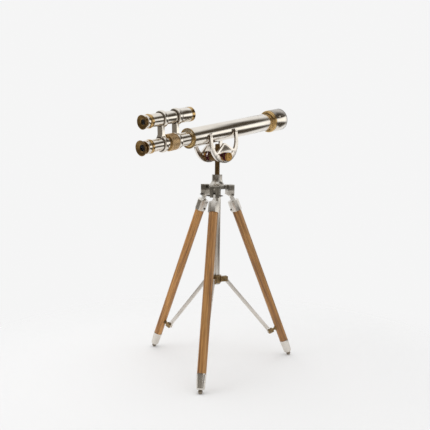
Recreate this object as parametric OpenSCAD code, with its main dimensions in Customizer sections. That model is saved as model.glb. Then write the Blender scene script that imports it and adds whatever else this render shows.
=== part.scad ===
// Decorative brass and nickel telescope with a sighting scope on a folding wooden tripod.
// Millimetres, Z up. The sight line runs along X, the objective end is +X.
// The origin is the middle of the bounding box at floor level.

/* [Tripod] */
// Height of the hinge pins of the legs above the floor
hip_z = 317.5; // [300:0.5:335]
// Distance of the hinge pins from the upright axis
hip_r = 27.4; // [26:0.1:29]
// Lean of the opened legs from the upright
leg_lean = 22.27; // [20:0.01:24]
// Turn of the tripod under the sight line
leg_turn = 93.7; // [85:0.1:100]
// Radius of a leg at its upper end
leg_top_r = 8.4; // [7.6:0.1:9]
// Radius of a leg at its lower end
leg_low_r = 7.9; // [7.2:0.1:8.4]
// Distance along the leg from the hinge pin to the metal foot
foot_at = 309.8; // [290:0.1:315]
// Outer radius of the centre column
column_r = 7.2; // [6:0.1:7.6]
// Height of the spreader hub's pins
hub_z = 160; // [150:0.5:170]
// Distance of the hub's pins from the upright axis
hub_pin_r = 19; // [18:0.1:20]
// Thickness of a spreader bar
bar_t = 3; // [2.6:0.1:3.2]
// Width of a spreader bar
bar_w = 6.8; // [6.4:0.1:7.4]

/* [Head] */
// Height of the tilt axle
axle_z = 387; // [380:0.5:395]
// Radius of the upright post
post_r = 4.4; // [4:0.1:5]
// Radius of the barrel on the tilt axle
barrel_r = 9.1; // [8:0.1:9.6]
// Half of the barrel's length
barrel_half = 14; // [13.4:0.1:14.6]
// Radius of the lock knobs
knob_r = 7.8; // [6.5:0.1:9]
// Thickness of a lock knob
knob_t = 5.3; // [4:0.1:7]

/* [Yoke] */
// Distance of the inner faces of the yokes from the middle plane
yoke_in = 17.1; // [16.9:0.1:17.4]
// Thickness of a yoke
yoke_t = 4; // [3.4:0.1:4.4]
// Half of the outer width of a yoke
yoke_half = 36.8; // [35:0.1:38]
// Width of a yoke's arm
arm_w = 6.2; // [5.4:0.1:7]

/* [Telescope] */
// Upward tilt of the sight line in the stored pose
rest_tilt = 9.05; // [6:0.05:12]
// Height of the sight line above the tilt axle
tube_rise = 42.9; // [42:0.1:45]
// Radius of the main tube
tube_r = 16.6; // [16:0.1:16.7]
// Station of the main tube's eyepiece end
collar_x = -71.7; // [-74:0.1:-70]
// Station of the objective ring
ring_x = 156; // [150:0.1:160]
// Station of the lens hood's open end
hood_x = 191.8; // [186:0.1:198]
// Outer radius of the lens hood
hood_r = 21.3; // [20.6:0.1:21.6]
// Radius of the draw tube
draw_r = 11.5; // [11.2:0.1:11.9]
// Radius of the knurled wheel
wheel_r = 14.6; // [13.2:0.1:15]
// Radius of the main eyecup
eyecup_r = 13; // [12:0.1:14]

/* [Sighting scope] */
// Height of the sighting scope above the main tube's axis
finder_rise = 40.7; // [39:0.1:43]
// Radius of the sighting scope's tube
finder_r = 10.9; // [10.4:0.1:11.2]
// Radius of its objective bell
bell_r = 12.6; // [12:0.1:13]
// Radius of its eyecup
finder_cup_r = 12; // [11:0.1:12.6]
// Forward lean of the clamp posts over their height
post_lean = 5; // [4:0.1:8]

/* [Hidden] */

eps = 0.01;
running = 0.05;
fine = 96;
mid = 64;
small = 48;
left_az = leg_turn;
right_az = leg_turn - 120;
front_az = leg_turn + 120;

// Tripod head
head_top = 354;
head_r = 9.4;
flare_top = 345;
flare_r = 13;
plate_top = 336.5;
plate_z = 328;
plate_r = 15;
web_z = 337;
lug_in = 19.5;
lug_out = 31.2;
lug_half = 8.4;
lug_round = lug_out - hip_r;
lug_z = hip_z - lug_round;
lug_top = 335.5;
lug_bridge_w = 9;
slot_half = 2;
tongue_half = 1.9;
slot_in = 21.8;
slot_top = 323;
hip_pin_r = 1.7;
hip_pin_half = 11.4;
hip_pin_point = 4.2;
lug_screw_z = 329;
lug_screw_r = 1.6;
lug_screw_h = 0.9;
column_top = 333;
column_in = column_r - 1.4;
column_end = hub_z - 5;
column_h = column_top - column_end;
stop_r = column_r + 1.4;
stop_h = 3.4;
stop_plug = 9;
post_foot = 334;
post_joint = 367.6;
post_top = 409.5;
tenon_r = 2.6;
tenon_h = 6;
collar_h = 2.6;
collar_r = 6.2;

// Tilt axle, from the middle outwards
axle_r = 2.5;
washer_gap = 0.1;
inner_washer_r = 8.8;
outer_washer_r = 7.3;
yoke_out = yoke_in + yoke_t;
outer_washer_t = 3;
knob_in = yoke_out + outer_washer_t + washer_gap;
knob_out = knob_in + knob_t;
axle_half = knob_out - 1.6;
knob_chamfer = 0.7;
knob_bore = axle_half - knob_in + running;

// Yoke outline, from the axle
bend_z = 25.8;
bend_in_z = 29.6;
arm_in = yoke_half - arm_w;
arm_x = yoke_half - arm_w / 2;
arm_top = tube_rise - 1.2;
yoke_boss_r = 5.4;
arch_t = 3;
arch_z = 9;
arch_half = 24;
arch_in = 15.5;
arch_knee = 4.5;
arch_tip = 2;
arch_peak = 24.2;
arch_side = arch_peak - 2.2;
arch_rim = 3.7;
arch_web_t = 1.6;
sill_half = 26;
yoke_screw_r = 2.1;
yoke_screw_h = 1.2;
yoke_screw_z = tube_rise - 1.4;
pad_r = 2.6;

// Main line
tube_wall = 1.2;
tube_in = tube_r - tube_wall;
collar_r_out = 17.9;
collar_t = 2.5;
gland_len = 13;
gland_r = draw_r + running;
dish = 1.4;
tube_end = ring_x - 1.4;
torus_r = 1.8;
torus_mid = 19.5;
ring_web = 2.6;
spigot_len = 8;
spigot_r = 14.2;
hood_wall = 1.3;
hood_in = hood_r - hood_wall;
hood_start = tube_end + ring_web;
hood_seat = 2;
hood_seat_r = 15.5;
lens_t = 4.5;
lens_r = hood_in - 0.6;
lens_x = hood_start + hood_seat + 0.9;
hood_screw_x = 169.5;
hood_screw_angle = 21.7;
hood_screw_r = 1.7;
hood_screw_h = 1.3;

// Draw tube and eyepiece, stations from the axle
sleeve_r = 10.6;
sleeve_in = sleeve_r - 1.2;
draw_start = -103.4;
draw_inner_end = -20;
draw_flange_t = 6;
draw_flange_r = tube_in - running;
sleeve_end = -90;
wheel_far = -103.8;
wheel_near = -121;
wheel_bevel = 1.1;
sleeve_start = -158;
ring_start = -163.4;
drum_start = -171;
band_start = -173;
cup_x = -180.2;
band_r = 10.5;
neck_r = 8.4;
drum_r = 11.3;
eye_ring_r = 11.7;
pupil_r = 5.4;
clamp_w = 7.4;
rear_clamp = -132.9;
front_clamp = -99.3;
lower_ring_r = 14.4;
upper_ring_t = 3.6;
clamp_round = 2;
post_half_x = 2.8;
post_half_y = 5.8;
post_back = 1.2;
foot_spread = 2;
clamp_screw_r = 1.6;
clamp_screw_h = 1.2;
clamp_screw_angle = -11;

// Sighting scope, stations from the axle
f_cup_x = -171.5;
f_neck_x = -166.4;
f_drum_x = -159.9;
f_ring_x = -152.8;
f_bell_x = -90;
f_bell_cone = 1.5;
f_bezel_x = -66.5;
f_end_x = -58.2;
f_wall = 1.1;
f_drum_r = 11.4;
f_ring_r = 12;
f_neck_r = 7.6;
f_pupil_r = 4.4;
f_sleeve_r = finder_r - f_wall;
f_slide_in = f_sleeve_r - 2;
f_slide_len = 24;

// Leg, measured along it from the hinge pin
socket_flat = 9.5;
socket_top = 12.4;
socket_low = 32;
socket_floor = 15;
tenon_top_r = 7.9;
tongue_r = 3.5;
shoulder_z = 7;
shoulder_half = 4.8;
socket_screw_z = 27;
socket_screw_r = 1.7;
socket_screw_h = 1.6;
foot_tenon_r = 6.3;
foot_tenon_h = 12;
ferrule_r = 8.5;
ferrule_low_r = 7.2;
ferrule_low = 333.5;
ferrule_round = 3;
stem_r = 2.7;
ball_r = 4;
ball_z = 3.6;
foot_r = hip_r + (hip_z - ball_z) * tan(leg_lean);
ball_at = (hip_z - ball_z) / cos(leg_lean);

// Spreader
knuckle_r = 114.3;
knuckle_z = 50.7;
bar_len = sqrt(pow(knuckle_r - hub_pin_r, 2) + pow(hub_z - knuckle_z, 2));
bar_angle = atan((knuckle_r - hub_pin_r) / (hub_z - knuckle_z));
knuckle_dx = knuckle_r - hip_r;
knuckle_dz = knuckle_z - hip_z;
knuckle_x = knuckle_dx * cos(leg_lean) + knuckle_dz * sin(leg_lean);
knuckle_down = knuckle_dx * sin(leg_lean) - knuckle_dz * cos(leg_lean);
spread_pin_r = 1.3;
pin_play = 0.05;
slot_play = 0.3;
slot_run = 6.5;
hub_r = 10.5;
hub_low = column_end;
hub_high = hub_z + 8;
arm_low = hub_z - 4.4;
arm_high = hub_z + 5;
arm_end = hub_pin_r + 4;
fork_half = 4.2;
fork_slot = bar_t / 2 + 0.2;
fork_in = 13.2;
bracket_flange_r = 3.8;
bracket_arm_r = 2.4;
bracket_screw_r = 1.4;
bracket_bite = 4;
fork_head_half = 3.4;
fork_tip = 3.6;
bar_eye_r = 4;

// The bounding box: the sight line's ends along X, the ferrules' rounded rims along Y
function ferrule_mid(az) = (hip_r + ferrule_low * sin(leg_lean)) * sin(az);
function ferrule_reach(az) = ferrule_round
    + (ferrule_low_r - ferrule_round) * sqrt(1 - pow(sin(leg_lean) * sin(az), 2));
low_x = -(-cup_x * cos(rest_tilt) + (tube_rise + eyecup_r) * sin(rest_tilt));
high_x = hood_x * cos(rest_tilt) - (tube_rise - hood_r) * sin(rest_tilt);
low_y = ferrule_mid(front_az) - ferrule_reach(front_az);
high_y = ferrule_mid(left_az) + ferrule_reach(left_az);
shift_x = -(low_x + high_x) / 2;
shift_y = -(low_y + high_y) / 2;

module place() translate([shift_x, shift_y, 0]) children();
// Frame on the tilt axle, X along the sight line
module scope() place() translate([0, 0, axle_z]) rotate([0, -rest_tilt, 0]) children();
module sight() scope() translate([0, 0, tube_rise]) children();
module finder() sight() translate([0, 0, finder_rise]) children();
// Turned shape about X; points are [radius, station]
module turned(points) rotate([0, 90, 0]) rotate_extrude($fn = fine) polygon(points);
module tube_x(x0, x1, ro, ri) turned([[ri, x0], [ro, x0], [ro, x1], [ri, x1]]);
module across(y0, y1, r, n = mid)
    translate([0, y1, 0]) rotate([90, 0, 0]) cylinder(r = r, h = y1 - y0, $fn = n);
// One leg's upright plane, X outwards
module leg_plane(az) place() rotate([0, 0, az]) children();
// Frame on the hinge pin, -Z down the leg
module leg_frame(az) leg_plane(az) translate([hip_r, 0, hip_z]) rotate([0, -leg_lean, 0]) children();

module head_casting() color("dimgray") place() {
    difference() {
        union() {
            rotate_extrude($fn = fine) polygon([[0, plate_z], [plate_r, plate_z], [plate_r, plate_top - 1],
                [flare_r, plate_top], [head_r + 1, flare_top - 4], [head_r, flare_top],
                [head_r, head_top], [0, head_top]]);
            for (az = [front_az, left_az, right_az])
                rotate([0, 0, az]) lug();
        }
        translate([0, 0, plate_z - 1]) cylinder(r = column_r, h = web_z - plate_z + 1, $fn = mid);
        cylinder(r = post_r + running, h = head_top + 1, $fn = mid);
        for (az = [front_az, left_az, right_az])
            rotate([0, 0, az]) {
                translate([slot_in, -slot_half, lug_z - 1])
                    cube([lug_out - slot_in + 1, 2 * slot_half, slot_top - lug_z + 1]);
                translate([hip_r, 0, hip_z]) across(-lug_half - 1, lug_half + 1, hip_pin_r, small);
            }
    }
}
// Lug with its lower end rounded about the hinge pin, and the bridge to the collar
module lug() {
    translate([0, lug_half, 0]) rotate([90, 0, 0]) linear_extrude(2 * lug_half) {
        polygon([[lug_in, lug_top], [lug_in, hip_z], [hip_r, lug_z], [lug_out, hip_z],
            [lug_out, lug_top]]);
        translate([hip_r, hip_z]) circle(r = lug_round, $fn = mid);
    }
    translate([0, -lug_bridge_w / 2, plate_z]) cube([lug_in + 1, lug_bridge_w, lug_top - plate_z]);
}
module lug_screws() color("darkgray") {
    for (az = [front_az, left_az, right_az])
        leg_plane(az) translate([lug_out, 0, lug_screw_z]) rotate([0, 90, 0])
            cylinder(r1 = lug_screw_r, r2 = lug_screw_r - 0.5, h = lug_screw_h, $fn = small);
}
module hip_pins() color("gray") {
    for (az = [front_az, left_az, right_az])
        leg_plane(az) translate([hip_r, 0, hip_z]) {
            across(-hip_pin_half, hip_pin_half, hip_pin_r, small);
            for (s = [-1, 1])
                translate([0, s * hip_pin_half, 0]) rotate([-90 * s, 0, 0])
                    cylinder(r1 = hip_pin_r, r2 = 0.4, h = hip_pin_point, $fn = small);
        }
}
module centre_column() color("silver") place()
    translate([0, 0, column_end]) difference() {
        cylinder(r = column_r, h = column_h, $fn = mid);
        translate([0, 0, -1]) cylinder(r = column_in, h = column_h + 2, $fn = mid);
    }
module column_stop() color("silver") place() translate([0, 0, column_end])
    rotate_extrude($fn = mid) polygon([[0, -stop_h], [stop_r - 0.8, -stop_h], [stop_r, 0.8 - stop_h],
        [stop_r, 0], [column_in, 0], [column_in, stop_plug], [0, stop_plug]]);

module pan_post() color("saddlebrown") place() {
    translate([0, 0, post_foot]) cylinder(r = post_r, h = post_joint - post_foot, $fn = mid);
    translate([0, 0, post_joint - 1]) cylinder(r = tenon_r, h = tenon_h + 1, $fn = small);
}
module post_collar() color("dimgray") place()
    translate([0, 0, post_foot + 0.2]) difference() {
        cylinder(r = collar_r, h = collar_h, $fn = mid);
        translate([0, 0, -1]) cylinder(r = post_r, h = collar_h + 2, $fn = mid);
    }
module tilt_barrel() color("saddlebrown") place()
    difference() {
        union() {
            translate([0, 0, post_joint]) cylinder(r = post_r, h = post_top - post_joint - 0.8, $fn = mid);
            translate([0, 0, post_top - 0.8]) cylinder(r1 = post_r, r2 = post_r - 0.8, h = 0.8, $fn = mid);
            translate([0, 0, axle_z]) across(-barrel_half, barrel_half, barrel_r, fine);
        }
        translate([0, 0, axle_z]) across(-barrel_half - 1, barrel_half + 1, axle_r, small);
        translate([0, 0, post_joint - 1]) cylinder(r = tenon_r, h = tenon_h + 1, $fn = small);
    }
module tilt_axle() color("goldenrod") place()
    translate([0, 0, axle_z]) across(-axle_half, axle_half, axle_r, small);
module washer(y0, y1, ro, ri) difference() {
    across(y0, y1, ro);
    across(y0 - 1, y1 + 1, ri, small);
}
module inner_washers() color("maroon") place() translate([0, 0, axle_z])
    for (s = [0, 1])
        mirror([0, s, 0]) washer(-yoke_in + washer_gap, -barrel_half, inner_washer_r, axle_r);

// Flat outline of a yoke in the plane of X and Z, as [x, z] drawn upright
module yoke_outline() difference() {
    union() {
        difference() {
            union() {
                translate([0, bend_z]) circle(r = yoke_half, $fn = fine);
                for (s = [-1, 1])
                    translate([s * arm_x - arm_w / 2, bend_z]) square([arm_w, arm_top - bend_z]);
            }
            translate([0, bend_in_z]) circle(r = arm_in, $fn = fine);
            translate([-arm_in, bend_in_z]) square([2 * arm_in, yoke_half]);
        }
        for (s = [-1, 1])
            translate([s * arm_x, arm_top]) circle(r = arm_w / 2, $fn = small);
        circle(r = yoke_boss_r + 2, $fn = mid);
        arch();
    }
    circle(r = axle_r + running, $fn = small);
}
// Pointed arch with a sill between the two arms
module arch() {
    translate([-sill_half, arch_z - arch_t / 2]) square([2 * sill_half, arch_t]);
    difference() {
        arch_outline();
        arch_panel();
    }
}
module arch_outline() polygon([[-arch_half, arch_z], [-arch_knee, arch_side], [-arch_tip, arch_peak],
    [arch_tip, arch_peak], [arch_knee, arch_side], [arch_half, arch_z]]);
// Recess of the arch, closed by a thin web in the middle of the yoke's thickness
module arch_panel() polygon([[-arch_in, arch_z + arch_t / 2], [-arch_knee, arch_side - arch_rim],
    [-arch_tip, arch_peak - arch_rim], [arch_tip, arch_peak - arch_rim],
    [arch_knee, arch_side - arch_rim], [arch_in, arch_z + arch_t / 2]]);
module yoke(s) scope() {
    difference() {
        union() {
            translate([0, s > 0 ? yoke_out : -yoke_in, 0]) rotate([90, 0, 0])
                linear_extrude(yoke_t) yoke_outline();
            translate([0, s * (yoke_in + yoke_t / 2) + arch_web_t / 2, 0]) rotate([90, 0, 0])
                linear_extrude(arch_web_t) arch_outline();
            for (e = [-1, 1])
                translate([e * arm_x, 0, yoke_screw_z]) mirror([0, s > 0 ? 1 : 0, 0])
                    across(-yoke_in - 1, -yoke_in + 2, pad_r, small);
        }
        translate([0, 0, tube_rise]) rotate([0, 90, 0])
            cylinder(r = tube_r, h = 6 * yoke_half, center = true, $fn = fine);
    }
}
module yoke_near() color("silver") yoke(-1);
module yoke_far() color("silver") yoke(1);
module outer_washers() color("maroon") scope()
    for (s = [0, 1])
        mirror([0, s, 0]) washer(-yoke_out - outer_washer_t, -yoke_out, outer_washer_r, axle_r + running);
module yoke_screws() color("silver") scope()
    for (s = [0, 1])
        for (e = [-1, 1])
            translate([e * arm_x, 0, yoke_screw_z]) mirror([0, s, 0])
                translate([0, -yoke_out, 0]) rotate([90, 0, 0])
                    cylinder(r1 = yoke_screw_r, r2 = yoke_screw_r - 0.8, h = yoke_screw_h, $fn = small);

module main_tube() color("silver") sight() tube_x(collar_x + collar_t, tube_end, tube_r, tube_in);
module tube_collar() color("goldenrod") sight() turned([[gland_r, collar_x + 0.3],
    [collar_r_out - 1.5, collar_x + dish], [collar_r_out - 1.2, collar_x + 0.2],
    [collar_r_out - 0.8, collar_x], [collar_r_out - 0.3, collar_x],
    [collar_r_out, collar_x + 0.4], [collar_r_out, collar_x + collar_t], [tube_in, collar_x + collar_t],
    [tube_in, collar_x + collar_t + gland_len], [gland_r, collar_x + collar_t + gland_len]]);
module objective_ring() color("goldenrod") sight() {
    rotate([0, 90, 0]) rotate_extrude($fn = fine) union() {
        translate([torus_mid, tube_end + ring_web / 2]) circle(r = torus_r, $fn = small);
        polygon([[tube_r - 1, tube_end], [torus_mid, tube_end], [torus_mid, tube_end + ring_web],
            [spigot_r, tube_end + ring_web], [spigot_r, tube_end - spigot_len],
            [tube_in, tube_end - spigot_len], [tube_in, tube_end]]);
    }
}
module lens_hood() color("silver") sight() difference() {
    turned([[hood_seat_r, hood_start], [hood_r, hood_start + 0.9], [hood_r, hood_x - 1],
        [hood_r - 0.5, hood_x], [hood_in, hood_x], [hood_in, lens_x + lens_t],
        [lens_r, lens_x + lens_t], [lens_r, lens_x], [hood_seat_r, lens_x]]);
    rotate([0, 90, 0]) rotate_extrude($fn = fine)
        translate([torus_mid, tube_end + ring_web / 2]) circle(r = torus_r, $fn = small);
    hood_screw_pin();
}
module hood_screw() color("silver") sight() hood_screw_pin();
module hood_screw_pin() translate([hood_screw_x, 0, 0]) rotate([90 - hood_screw_angle, 0, 0])
    translate([0, 0, hood_in + 0.3])
        cylinder(r = hood_screw_r, h = hood_wall - 0.3 + hood_screw_h, $fn = small);
module objective_lens() color("lightblue") sight()
    tube_x(lens_x, lens_x + lens_t, lens_r, 0);

module knob(s) scope_rest() mirror([0, s, 0]) translate([0, -knob_in, 0]) rotate([90, 0, 0])
    difference() {
        rotate_extrude($fn = fine) polygon([[0, 0], [knob_r - knob_chamfer, 0], [knob_r, knob_chamfer],
            [knob_r, knob_t - knob_chamfer], [knob_r - knob_chamfer, knob_t], [0, knob_t]]);
        translate([0, 0, -1]) cylinder(r = axle_r + running, h = knob_bore + 1, $fn = small);
    }
module scope_rest() place() translate([0, 0, axle_z]) children();
module knob_near() color("goldenrod") knob(0);
module knob_far() color("goldenrod") knob(1);

module draw_tube() color("silver") sight() turned([[sleeve_r, draw_start], [draw_r, draw_start],
    [draw_r, draw_inner_end - draw_flange_t], [draw_flange_r, draw_inner_end - draw_flange_t],
    [draw_flange_r, draw_inner_end], [sleeve_r, draw_inner_end]]);
module eyepiece_sleeve() color("silver") sight() tube_x(sleeve_start, sleeve_end, sleeve_r, sleeve_in);
module eyepiece_ring() color("goldenrod") sight() turned([
    [sleeve_in, ring_start], [eye_ring_r - 0.9, ring_start],
    [eye_ring_r, ring_start + 1], [eye_ring_r, sleeve_start - 1], [eye_ring_r - 0.9, sleeve_start],
    [sleeve_in, sleeve_start]]);
module eyepiece_drum() color("silver") sight() turned([[neck_r, drum_start], [drum_r - 1.1, drum_start],
    [drum_r - 0.3, drum_start + 0.8], [drum_r, drum_start + 2.2], [drum_r, ring_start - 2.2],
    [drum_r - 0.3, ring_start - 0.8], [drum_r - 1.1, ring_start], [neck_r, ring_start]]);
module eyecup() color("goldenrod") sight() turned([[pupil_r, drum_start], [pupil_r, cup_x + 3.4],
    [pupil_r + 2, cup_x + 2.2], [eyecup_r - 1.4, cup_x + 0.9], [eyecup_r - 0.6, cup_x],
    [eyecup_r, cup_x + 0.5], [eyecup_r - 0.2, cup_x + 1.4], [neck_r + 1, cup_x + 4.8],
    [neck_r + 0.4, band_start],
    [band_r, band_start], [band_r, drum_start]]);
module eye_lens() color("lightblue") sight() tube_x(cup_x + 4.4, cup_x + 6.8, pupil_r, 0);
module focus_wheel() color("tan") sight() turned([
    [sleeve_r + running, wheel_near], [wheel_r - wheel_bevel, wheel_near],
    [wheel_r, wheel_near + wheel_bevel], [wheel_r, wheel_far - wheel_bevel],
    [wheel_r - wheel_bevel, wheel_far],
    [sleeve_r + running, wheel_far]]);

// One clamp: a ring on the main line, a leaning post, a ring on the sighting scope
module clamp(x, bore, spread) sight() difference() {
    union() {
        clamp_ring(x, lower_ring_r);
        translate([post_lean, 0, finder_rise]) clamp_ring(x, finder_r + upper_ring_t);
        translate([x - post_back, post_half_y, 0]) rotate([90, 0, 0])
            linear_extrude(2 * post_half_y) post_outline(spread);
    }
    tube_x(x - clamp_w, x + clamp_w, bore, 0);
    translate([post_lean, 0, finder_rise]) tube_x(x - clamp_w, x + clamp_w, finder_r, 0);
    translate([0, 0, finder_rise]) clamp_screw(x);
}
// Disc with rounded rims, bored by the clamp
module clamp_ring(x, r) translate([x, 0, 0]) turned(concat([[0, -clamp_w / 2]],
    [for (a = [0, 30, 60, 90]) [r - clamp_round * (1 - sin(a)), clamp_round * (1 - cos(a)) - clamp_w / 2]],
    [for (a = [90, 60, 30, 0]) [r - clamp_round * (1 - sin(a)), clamp_w / 2 - clamp_round * (1 - cos(a))]],
    [[0, clamp_w / 2]]));
module post_outline(spread) polygon([[-post_half_x - spread, 0], [post_half_x + spread, 0],
    [post_half_x + spread + post_lean * 0.28, finder_rise * 0.28],
    [post_half_x + post_lean * 0.4, finder_rise * 0.4], [post_half_x + post_lean, finder_rise],
    [-post_half_x + post_lean, finder_rise], [-post_half_x + post_lean * 0.4, finder_rise * 0.4],
    [-post_half_x - spread + post_lean * 0.28, finder_rise * 0.28]]);
module clamp_rear() color("silver") clamp(rear_clamp, sleeve_r, foot_spread);
module clamp_front() color("silver") clamp(front_clamp, draw_r, 0);
module clamp_screws() color("gray") finder()
    for (x = [rear_clamp, front_clamp])
        clamp_screw(x);
module clamp_screw(x) translate([x + post_lean, 0, 0]) rotate([90 - clamp_screw_angle, 0, 0])
    translate([0, 0, finder_r + 0.8])
        cylinder(r = clamp_screw_r, h = upper_ring_t - 0.8 + clamp_screw_h, $fn = small);

module finder_tube() color("silver") finder() tube_x(f_ring_x, f_bell_x, finder_r, f_sleeve_r);
module finder_ring() color("goldenrod") finder() turned([[f_sleeve_r, f_drum_x], [f_ring_r - 1.4, f_drum_x],
    [f_ring_r - 0.3, f_drum_x + 1.2], [f_ring_r, f_drum_x + 3], [f_ring_r - 0.6, f_drum_x + 5],
    [f_ring_r - 1, f_ring_x], [f_sleeve_r, f_ring_x]]);
module finder_bell() color("silver") finder() turned([[f_sleeve_r, f_bell_x], [finder_r + 0.6, f_bell_x],
    [bell_r, f_bell_x + f_bell_cone], [bell_r, f_bezel_x], [bell_r - 1.6, f_bezel_x],
    [bell_r - 1.6, f_bell_x + f_bell_cone + 1], [f_sleeve_r, f_bell_x + f_bell_cone + 1]]);
module finder_bezel() color("goldenrod") finder() turned([[bell_r - 2.8, f_bezel_x], [bell_r, f_bezel_x],
    [bell_r + 0.3, f_bezel_x + 1.4], [bell_r, f_end_x - 0.8], [bell_r - 0.9, f_end_x],
    [bell_r - 2.8, f_end_x]]);
module finder_lens() color("lightblue") finder()
    tube_x(f_bezel_x - 2.6, f_bezel_x, bell_r - 1.6, 0);
module finder_drum() color("silver") finder() turned([[f_pupil_r + 1, f_neck_x], [f_drum_r - 2.4, f_neck_x],
    [f_drum_r - 0.6, f_neck_x + 1], [f_drum_r, f_neck_x + 3], [f_drum_r - 0.6, f_drum_x - 1],
    [f_drum_r - 1.6, f_drum_x - 0.1], [f_sleeve_r - running, f_drum_x - 0.1],
    [f_sleeve_r - running, f_drum_x + f_slide_len], [f_slide_in, f_drum_x + f_slide_len],
    [f_slide_in, f_drum_x + 2], [f_pupil_r + 1, f_drum_x + 2]]);
module finder_eyecup() color("goldenrod") finder() turned([
    [f_pupil_r, f_neck_x], [f_pupil_r, f_cup_x + 2.8], [f_pupil_r + 2, f_cup_x + 1.9],
    [finder_cup_r - 1.3, f_cup_x + 0.8], [finder_cup_r - 0.6, f_cup_x],
    [finder_cup_r, f_cup_x + 0.5], [finder_cup_r - 0.2, f_cup_x + 1.3], [f_neck_r, f_cup_x + 4.2],
    [f_neck_r, f_neck_x]]);
module finder_eye_lens() color("lightblue") finder() tube_x(f_cup_x + 3.2, f_neck_x, f_pupil_r, 0);

// Eight-sided metal socket on a leg's upper end with a tongue for the hinge
module socket(az) color("gainsboro") leg_frame(az) difference() {
    union() {
        translate([0, 0, -socket_low]) rotate([0, 0, 22.5])
            cylinder(r = socket_flat / cos(22.5), h = socket_low - socket_top, $fn = 8);
        across(-tongue_half, tongue_half, tongue_r, small);
        translate([-tongue_r, 0, 0]) rotate([90, 0, 90]) linear_extrude(2 * tongue_r)
            polygon([[-tongue_half, 0], [-tongue_half, -shoulder_z], [-shoulder_half, -socket_top - eps],
                [shoulder_half, -socket_top - eps], [tongue_half, -shoulder_z], [tongue_half, 0]]);
    }
    across(-tongue_half - 1, tongue_half + 1, hip_pin_r + running, small);
    leg_tenon();
    translate([0, 0, -socket_screw_z]) rotate([0, -90, 0])
        cylinder(r = socket_screw_r, h = 2 * socket_flat, $fn = small);
}
// The wooden part of a leg, and its ends inside the socket and the foot
module leg_taper() translate([0, 0, -foot_at])
    cylinder(r1 = leg_low_r, r2 = leg_top_r, h = foot_at - socket_low, $fn = fine);
module leg_tenon() translate([0, 0, -socket_low - 1])
    cylinder(r = tenon_top_r, h = socket_low - socket_floor + 1, $fn = fine);
module foot_tenon() translate([0, 0, -foot_at - foot_tenon_h])
    cylinder(r = foot_tenon_r, h = foot_tenon_h + 1, $fn = fine);
// The socket's screw and the spreader bracket's pin
module fixings(az) color("dimgray") leg_frame(az) {
    translate([-tenon_top_r, 0, -socket_screw_z]) rotate([0, -90, 0])
        cylinder(r = socket_screw_r, h = socket_flat - tenon_top_r + socket_screw_h, $fn = small);
    translate([knuckle_x, 0, -knuckle_down]) across(-fork_half, fork_half, spread_pin_r, small);
}
module leg(az) color("peru") leg_frame(az) difference() {
    union() {
        leg_taper();
        leg_tenon();
        foot_tenon();
    }
    translate([-leg_low_r + bracket_bite - 1, 0, -knuckle_down]) rotate([0, -90, 0])
        cylinder(r = bracket_screw_r, h = 12, $fn = small);
}
module foot(az) color("gainsboro") {
    difference() {
        union() {
            leg_frame(az) difference() {
                rotate_extrude($fn = fine) union() {
                    polygon([[0, -foot_at], [ferrule_r, -foot_at], [ferrule_low_r, -ferrule_low],
                        [0, -ferrule_low]]);
                    translate([ferrule_low_r - ferrule_round, -ferrule_low])
                        intersection() {
                            circle(r = ferrule_round, $fn = small);
                            translate([0, -ferrule_round]) square(ferrule_round);
                        }
                    translate([0, -ferrule_low - ferrule_round])
                        square([ferrule_low_r - ferrule_round, ferrule_round]);
                }
                foot_tenon();
            }
            leg_frame(az) translate([0, 0, -ball_at]) {
                cylinder(r = stem_r, h = ball_at - ferrule_low, $fn = small);
                sphere(r = ball_r, $fn = small);
            }
        }
        leg_plane(az) translate([foot_r - 20, -20, -20]) cube([40, 40, 20]);
    }
}
module bracket(az) color("goldenrod") leg_frame(az) {
    difference() {
        union() {
            translate([-leg_low_r + 1.5, 0, -knuckle_down]) rotate([0, -90, 0])
                cylinder(r = bracket_flange_r, h = 3, $fn = small);
            translate([-leg_low_r + 1.5, 0, -knuckle_down]) rotate([0, -90, 0])
                cylinder(r = bracket_arm_r, h = -knuckle_x - leg_low_r - 2.2, $fn = small);
            translate([knuckle_x - fork_tip, -fork_half, -knuckle_down - fork_head_half])
                cube([fork_tip + 6.6, 2 * fork_half, 2 * fork_head_half]);
        }
        leg_taper();
        translate([knuckle_x - fork_tip - 1, -fork_slot, -knuckle_down - fork_head_half - 1])
            cube([fork_tip + 6.1, 2 * fork_slot, 2 * fork_head_half + 2]);
        translate([knuckle_x, 0, -knuckle_down]) across(-fork_half - 1, fork_half + 1, spread_pin_r, small);
    }
    translate([-leg_low_r + bracket_bite - 1, 0, -knuckle_down]) rotate([0, -90, 0])
        cylinder(r = bracket_screw_r, h = bracket_bite + 0.5, $fn = small);
}
module spreader_hub() color("darkgoldenrod") place() difference() {
    union() {
        translate([0, 0, hub_low]) cylinder(r = hub_r, h = hub_high - hub_low, $fn = fine);
        for (az = [front_az, left_az, right_az])
            rotate([0, 0, az]) translate([0, -fork_half, arm_low])
                cube([arm_end, 2 * fork_half, arm_high - arm_low]);
    }
    translate([0, 0, hub_low - 1]) cylinder(r = column_r + running, h = hub_high - hub_low + 2, $fn = mid);
    for (az = [front_az, left_az, right_az])
        rotate([0, 0, az]) {
            translate([fork_in, -fork_slot, arm_low - 1])
                cube([arm_end - fork_in + 1, 2 * fork_slot, arm_high - arm_low + 2]);
            translate([hub_pin_r, 0, hub_z]) across(-fork_half - 1, fork_half + 1, spread_pin_r, small);
        }
}
module hub_pins() color("gray") {
    for (az = [front_az, left_az, right_az])
        leg_plane(az) translate([hub_pin_r, 0, hub_z]) across(-fork_half, fork_half, spread_pin_r, small);
}
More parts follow.
